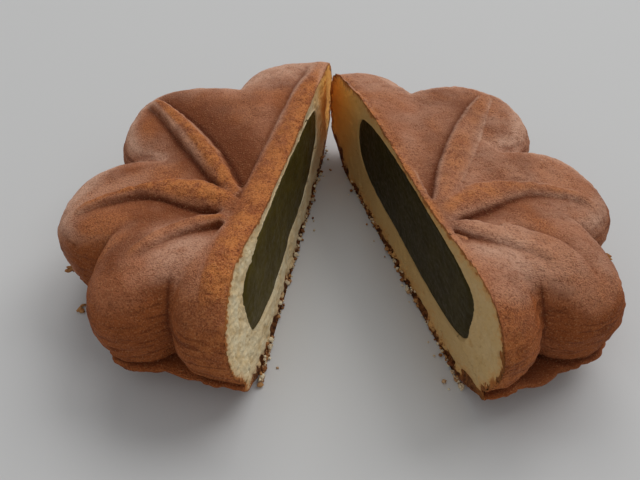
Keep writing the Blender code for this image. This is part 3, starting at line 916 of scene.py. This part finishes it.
# %% A finish: a node group with coats of colour
class Finish:
    """A node group being painted. Each method adds a node and hands back its output."""

    def __init__(self, name, ground, *masks):
        self.group = bpy.data.node_groups.new(name, "ShaderNodeTree")
        sockets = [("Place", "INPUT", "Vector")] + [(mask, "INPUT", "Float") for mask in masks]
        sockets += [("Colour", "OUTPUT", "Color"), ("Roughness", "OUTPUT", "Float"),
                    ("Height", "OUTPUT", "Float")]
        for key, way, kind in sockets:
            self.group.interface.new_socket(name=key, in_out=way, socket_type="NodeSocket" + kind)
        self.given = self.group.nodes.new("NodeGroupInput").outputs
        self.result = self.group.nodes.new("NodeGroupOutput").inputs
        self.colour = ground

    def put(self, value, socket):
        """Set a socket to a number or a colour, or link another node to it."""
        if isinstance(value, (int, float)):
            socket.default_value = value
        elif isinstance(value, tuple):
            socket.default_value = (*value, 1.0)
        else:
            self.group.links.new(value, socket)

    def noise(self, scale, detail=3.0, rough=0.55, squeeze=None):
        """Noise on object coordinates, with a scale in lumps per metre."""
        node = self.group.nodes.new("ShaderNodeTexNoise")
        place = self.given["Place"]
        if squeeze:
            mapping = self.group.nodes.new("ShaderNodeMapping")
            mapping.inputs["Scale"].default_value = squeeze
            self.put(place, mapping.inputs["Vector"])
            place = mapping.outputs["Vector"]
        for key, value in zip(("Vector", "Scale", "Detail", "Roughness"), (place, scale, detail, rough)):
            self.put(value, node.inputs[key])
        return node.outputs["Fac"]

    def maths(self, what, a, b):
        node = self.group.nodes.new("ShaderNodeMath")
        node.operation = what
        node.use_clamp = what == "SUBTRACT"
        self.put(a, node.inputs[0])
        self.put(b, node.inputs[1])
        return node.outputs[0]

    def times(self, a, b):
        return self.maths("MULTIPLY", a, b)

    def plus(self, a, b):
        return self.maths("ADD", a, b)

    def rest(self, a):
        """What a leaves of 1."""
        return self.maths("SUBTRACT", 1.0, a)

    def ramp(self, value, low, high, at_low=0.0, at_high=1.0):
        """An eased change between two results as the value goes from low to high."""
        node = self.group.nodes.new("ShaderNodeMapRange")
        node.interpolation_type = "SMOOTHSTEP"
        for key, number in zip(("Value", "From Min", "From Max", "To Min", "To Max"),
                               (value, low, high, at_low, at_high)):
            self.put(number, node.inputs[key])
        return node.outputs["Result"]

    def mix(self, share, a, b):
        node = self.group.nodes.new("ShaderNodeMix")
        node.data_type = "RGBA"
        for value, socket in ((share, node.inputs["Factor"]), (a, node.inputs[6]), (b, node.inputs[7])):
            self.put(value, socket)
        return node.outputs[2]

    def coat(self, colour, share):
        """Lay a colour over what is there, by a share from 0 to 1."""
        self.colour = self.mix(share, self.colour, colour)

    def done(self, roughness, height):
        for value, socket in zip((self.colour, roughness, height), self.result):
            self.put(value, socket)


# %% Materials that read a piece's masks into a finish
def dress(part, finish, bump, depth, shine):
    """Give both pieces of a kind their material. Each mask has its socket's name."""
    for side in SIDES:
        material = bpy.data.materials.new(part + "_" + side)
        material.use_nodes = True
        tree = material.node_tree
        link = tree.links.new
        shader = tree.nodes["Principled BSDF"]
        shader.inputs["Specular IOR Level"].default_value = shine
        node = tree.nodes.new("ShaderNodeGroup")
        node.node_tree = finish.group
        place = tree.nodes.new("ShaderNodeTexCoord")
        link(place.outputs["Object"], node.inputs["Place"])
        for socket in node.inputs[1:]:
            mask = tree.nodes.new("ShaderNodeAttribute")
            mask.attribute_type = "GEOMETRY"
            mask.attribute_name = socket.name
            link(mask.outputs["Fac"], socket)
        link(node.outputs["Colour"], shader.inputs["Base Color"])
        link(node.outputs["Roughness"], shader.inputs["Roughness"])
        relief = tree.nodes.new("ShaderNodeBump")
        relief.inputs["Strength"].default_value = bump
        relief.inputs["Distance"].default_value = depth
        link(node.outputs["Height"], relief.inputs["Height"])
        link(relief.outputs["Normal"], shader.inputs["Normal"])
        pieces[part + "_" + side].data.materials.append(material)
    print(part, "finish has", len(finish.group.nodes), "nodes")


# %% [markdown]
# ## Finish of the crust
#
# A maple bean cake browns where the iron was hottest. Broad faces are a matt
# cinnamon under a mauve haze, with a painted sheen where they turn to the light behind.
# The vein ridges are paler and golden with open crumb. The grooves beside them are nearly
# black-brown, part baked colour and part painted shade, and the hollows beside the veins
# and the creases at the foot of the walls and between lobes carry painted shade. Walls
# and flash are a deeper red-brown. Noise at four scales breaks every coat up, as real
# browning is patchy.

# %% Crust: browns of the faces, painted sheen and painted shade in the hollows
CINNAMON, CINNAMON_DARK = (0.50, 0.170, 0.072), (0.28, 0.080, 0.028)
MAUVE_HAZE_SHEEN, ORANGE = (0.80, 0.460, 0.320), (0.55, 0.180, 0.060)
GOLDEN, AMBER = (0.72, 0.252, 0.072), (0.40, 0.092, 0.017)
HOLLOW_SHADE_BROWN, GROOVE_BROWN_AND_SHADE = (0.220, 0.056, 0.017), (0.115, 0.020, 0.005)
WALL_BROWN, FLASH_BROWN = (0.38, 0.098, 0.022), (0.41, 0.110, 0.026)
PORE_BROWN, PALE_SPECK = (0.19, 0.050, 0.016), (0.78, 0.42, 0.20)

crust = Finish("baked crust", CINNAMON_DARK, "ridge", "groove", "hollow", "wall", "flash",
               "under", "haze_and_sheen", "near_cut", "lip")
given = crust.given
broad, middle = crust.noise(90.0), crust.noise(420.0, 4.0, 0.6)
fine, speck = crust.noise(2300.0, 3.0, 0.65), crust.noise(4600.0, 2.0, 0.6)
bare = crust.rest(crust.times(given["haze_and_sheen"], 0.6))

crust.coat(CINNAMON, crust.ramp(broad, 0.32, 0.58))
worn = crust.ramp(crust.noise(130.0, 2.0), 0.48, 0.66, 0.0, 0.85)
crust.coat(ORANGE, crust.times(worn, crust.ramp(fine, 0.3, 0.6)))
# pale mauve haze together with painted sheen, laid by the haze mask
crust.coat(MAUVE_HAZE_SHEEN, crust.times(given["haze_and_sheen"], crust.ramp(middle, 0.25, 0.6, 0.45, 1.0)))
# painted shade in the hollows beside the veins
crust.coat(HOLLOW_SHADE_BROWN, crust.ramp(given["hollow"], 0.10, 0.70, 0.0, 0.9))

# %% Crust: gold on the ridges and along the cut
ridges = crust.times(given["ridge"], crust.ramp(middle, 0.34, 0.60, 0.45, 1.0))
band = crust.times(given["near_cut"], crust.ramp(middle, 0.30, 0.55, 0.35, 1.0))
gold = crust.times(crust.maths("MAXIMUM", ridges, band), bare)
mixed = crust.plus(crust.times(middle, 0.55), crust.times(fine, 0.45))
crust.coat(crust.mix(crust.ramp(mixed, 0.36, 0.56), AMBER, GOLDEN), gold)

# %% Crust: walls, grooves, flash, underside, and painted shade in the creases
spared = crust.plus(crust.times(given["near_cut"], 0.6), crust.times(given["haze_and_sheen"], 0.7))
wall = crust.ramp(given["wall"], 0.1, 0.95, 0.0, 0.75)
crust.coat(WALL_BROWN, crust.times(wall, crust.rest(spared)))
# grooves darkened, part baked brown and part painted shade
crust.coat(GROOVE_BROWN_AND_SHADE, crust.ramp(given["groove"], 0.05, 0.9, 0.0, 0.9))
crust.coat(FLASH_BROWN, crust.ramp(given["flash"], 0.3, 0.95, 0.0, 0.85))
crust.coat(CINNAMON_DARK, crust.ramp(given["under"], 0.2, 1.0, 0.0, 0.8))
# painted shade in the creases at the foot of the wall and between lobes
crust.coat(GROOVE_BROWN_AND_SHADE, crust.ramp(given["lip"], 0.1, 1.0, 0.0, 0.85))

# %% Crust: grain, flat wrinkles on the walls, pores and pale specks
crust.coat(CINNAMON_DARK, crust.ramp(fine, 0.32, 0.50, 0.42, 0.0))
wrinkle = crust.ramp(crust.noise(700.0, 3.0, 0.6, (0.3, 0.3, 2.2)), 0.36, 0.50, 0.55, 0.0)
crust.coat(GROOVE_BROWN_AND_SHADE, crust.times(wrinkle, given["wall"]))
pores = crust.times(crust.ramp(middle, 0.36, 0.62, 1.0, 0.3), bare)
crust.coat(PORE_BROWN, crust.times(crust.ramp(speck, 0.36, 0.50, 0.62, 0.0), pores))
crust.coat(PALE_SPECK, crust.ramp(speck, 0.54, 0.70, 0.0, 0.30))
crust.done(crust.ramp(middle, 0.3, 0.7, 0.62, 0.82),
           crust.plus(crust.times(fine, 0.7), crust.times(speck, 0.4)))
dress("crust", crust, 1.0, 0.00050, 0.12)

# %% [markdown]
# ## Finish of the sponge
#
# Inside, the crumb is pale cream, with a painted glow of light through the thin tip.
# A tan coat lies over the face, heavy on the right face as painted shade, since that
# face turns away from the light. The crumb darkens to orange-brown in the last half
# millimetre under the crust and in a wider, uneven band along the bottom. The band is
# found by depth below the crust, not painted, so it follows the outline wherever that goes.

# %% Sponge: cream, painted shade in the tan coat and the pits, painted glow at the tip
CREAM, CREAM_WARM, CREAM_TAN_SHADE = (0.90, 0.80, 0.56), (0.80, 0.62, 0.36), (0.61, 0.39, 0.155)
PIT_SHADE_AND_TONE, TOAST, BOTTOM = (0.62, 0.42, 0.18), (0.42, 0.15, 0.040), (0.15, 0.052, 0.019)
WARM, PAINTED_TIP_GLOW = (0.66, 0.34, 0.11), (1.00, 0.51, 0.11)

sponge = Finish("open sponge", CREAM_WARM, "deep", "rim_z", "pit", "along", "high", "tan_and_shade")
given = sponge.given
middle, fine = sponge.noise(380.0, 4.0, 0.6), sponge.noise(1500.0, 3.0, 0.6)
speck = sponge.noise(3400.0, 2.0, 0.5)
sponge.coat(CREAM, sponge.ramp(middle, 0.35, 0.68))
# tan coat, mostly painted shade on the right face
sponge.coat(CREAM_TAN_SHADE, given["tan_and_shade"])
# painted shade in the pits and holes that the knife opened
sponge.coat(PIT_SHADE_AND_TONE, sponge.times(given["pit"], 0.5))
sponge.coat(PIT_SHADE_AND_TONE, sponge.ramp(fine, 0.30, 0.46, 0.35, 0.0))
# painted glow of light through the thin tip, at the far end and up high
tip = sponge.plus(given["along"], sponge.times(given["high"], 0.12))
sponge.coat(PAINTED_TIP_GLOW, sponge.ramp(tip, 0.80, 1.02, 0.0, 0.95))

# %% Sponge: the brown edge under the crust
bottom = sponge.ramp(given["rim_z"], 4.5, 1.5)
mixed = sponge.plus(sponge.times(middle, 0.5), sponge.times(fine, 0.5))
band = sponge.plus(sponge.times(bottom, 0.45), 0.55)
band = sponge.times(band, sponge.ramp(mixed, 0.36, 0.64, 0.4, 1.7))
edge = sponge.maths("DIVIDE", given["deep"], band)
# the warm edge is stronger where the tan coat of painted shade is heavy
warmer = sponge.plus(sponge.times(given["tan_and_shade"], 0.6), 0.4)
sponge.coat(WARM, sponge.times(sponge.ramp(edge, 0.6, 2.8, 0.9, 0.0), warmer))
toast = sponge.mix(sponge.times(bottom, sponge.ramp(fine, 0.35, 0.6)), TOAST, BOTTOM)
sponge.coat(toast, sponge.ramp(edge, 0.45, 1.15, 1.0, 0.0))
sponge.done(sponge.ramp(fine, 0.3, 0.7, 0.75, 0.9),
            sponge.plus(sponge.times(fine, 0.6), sponge.times(speck, 0.4)))
dress("crumb", sponge, 0.8, 0.00028, 0.15)

# %% [markdown]
# ## Finish of the paste
#
# The paste is a dark olive brown. It is moist, so it takes a broad soft shine, and
# small paler specks of bean skin show in the cut. One half stands more in the shade
# of its own crust, so it carries more of the dark coat.

# %% Paste finish
OLIVE_DARK, OLIVE, BEAN_SKIN, DEEP_OLIVE = ((0.074, 0.052, 0.006), (0.104, 0.076, 0.011),
                                            (0.24, 0.20, 0.12), (0.012, 0.008, 0.003))
paste = Finish("bean paste", OLIVE_DARK, "shade")
middle, fine = paste.noise(330.0, 4.0, 0.6), paste.noise(1500.0, 3.0, 0.6)
paste.coat(OLIVE, paste.ramp(middle, 0.35, 0.68))
paste.coat(BEAN_SKIN, paste.ramp(paste.noise(3000.0, 2.0, 0.5), 0.66, 0.74, 0.0, 0.5))
paste.coat(DEEP_OLIVE, paste.given["shade"])
paste.done(paste.ramp(fine, 0.3, 0.7, 0.42, 0.62), fine)
dress("filling", paste, 0.35, 0.00015, 0.14)

# %% [markdown]
# ## Finish of the loose bits
#
# A crumb is cream sponge or a scrap of brown crust, so two coats from cream to brown,
# driven by each bit's own tone, cover them all.

# %% Crumb finish
BAKED_CRUMB, BURNT_CRUMB = (0.50, 0.25, 0.09), (0.17, 0.055, 0.02)
bit = Finish("loose crumb", CREAM, "tone")
tone, fine = bit.given["tone"], bit.noise(2300.0, 3.0, 0.6)
bit.coat(BAKED_CRUMB, bit.ramp(tone, 0.05, 0.55))
bit.coat(BURNT_CRUMB, bit.ramp(tone, 0.50, 0.95))
bit.coat(CINNAMON_DARK, bit.ramp(fine, 0.34, 0.55, 0.5, 0.0))
bit.done(bit.ramp(fine, 0.3, 0.7, 0.75, 0.9), fine)
dress("bits", bit, 0.6, 0.0002, 0.12)

# %% [markdown]
# ## Which piece stands for which solid
#
# Nothing moves on a cake, so every piece rides on the one body. Crust and crumb
# together stand for the cake solid of their half, and the paste for the paste solid.

# %% Tie the pieces to the model
for name, piece in pieces.items():
    part, side = name.split("_")
    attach(piece, "root")
    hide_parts(("paste_" if part == "filling" else "cake_") + side)
print("pieces", sorted(pieces))

# %% [markdown]
# ## Floor, light and camera
#
# A plain pale floor, two soft windows high behind the cake, one of them off to the
# right, and a pale sky for fill. The camera looks down at half a right angle from
# just in front.

# %% Floor
bm = bmesh.new()
bmesh.ops.create_grid(bm, x_segments=1, y_segments=1, size=2.0)
floor = as_object("floor", bm, smooth=False)
matt = bpy.data.materials.new("pale floor")
matt.use_nodes = True
shader = matt.node_tree.nodes["Principled BSDF"]
shader.inputs["Base Color"].default_value = (0.64, 0.64, 0.638, 1.0)
shader.inputs["Roughness"].default_value = 0.7
floor.data.materials.append(matt)
floor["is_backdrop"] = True


# %% Lights
def soft_light(name, at, size, power):
    """A round window that faces the cake."""
    data = bpy.data.lights.new(name, "AREA")
    data.shape = "DISK"
    data.size = size
    data.energy = power
    data.color = (1.0, 1.0, 0.995)
    light = in_scene(name, data)
    light.location = at
    light.rotation_euler = (-Vector(at)).to_track_quat("-Z", "Y").to_euler()


soft_light("right window", (1.30, 1.10, 1.82), 1.60, 19.0)
soft_light("back window", (0.05, 1.60, 1.90), 1.40, 13.0)
world = bpy.data.worlds.new("room")
bpy.context.scene.world = world
world.use_nodes = True
sky = world.node_tree.nodes["Background"]
sky.inputs["Color"].default_value = (0.985, 0.995, 1.0, 1.0)
sky.inputs["Strength"].default_value = 0.38
bpy.context.scene.view_settings.view_transform = "Standard"

# %% Camera
lens = bpy.data.cameras.new("camera")
lens.lens = 37.125
lens.sensor_width = 36.0
lens.clip_start = 0.001
lens.clip_end = 10.0
camera = in_scene("camera", lens)
camera.location = (-0.002465, -0.080637, 0.08245)
camera.rotation_euler = (math.radians(45.0), 0.0, 0.0)
bpy.context.scene.camera = camera

# %% [markdown]
#
# A dressed piece may stand a hair outside its solid. The two boxes are
# written side by side, so that a drift shows at once.

# %% Write the two boxes and finish
new_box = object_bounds()
sizes = {"cad": [list(c) for c in cad_box], "visual": [list(c) for c in new_box]}
for key, (low, high) in sizes.items():
    print(key, [round((b - a) / MM, 1) for a, b in zip(low, high)], "mm")
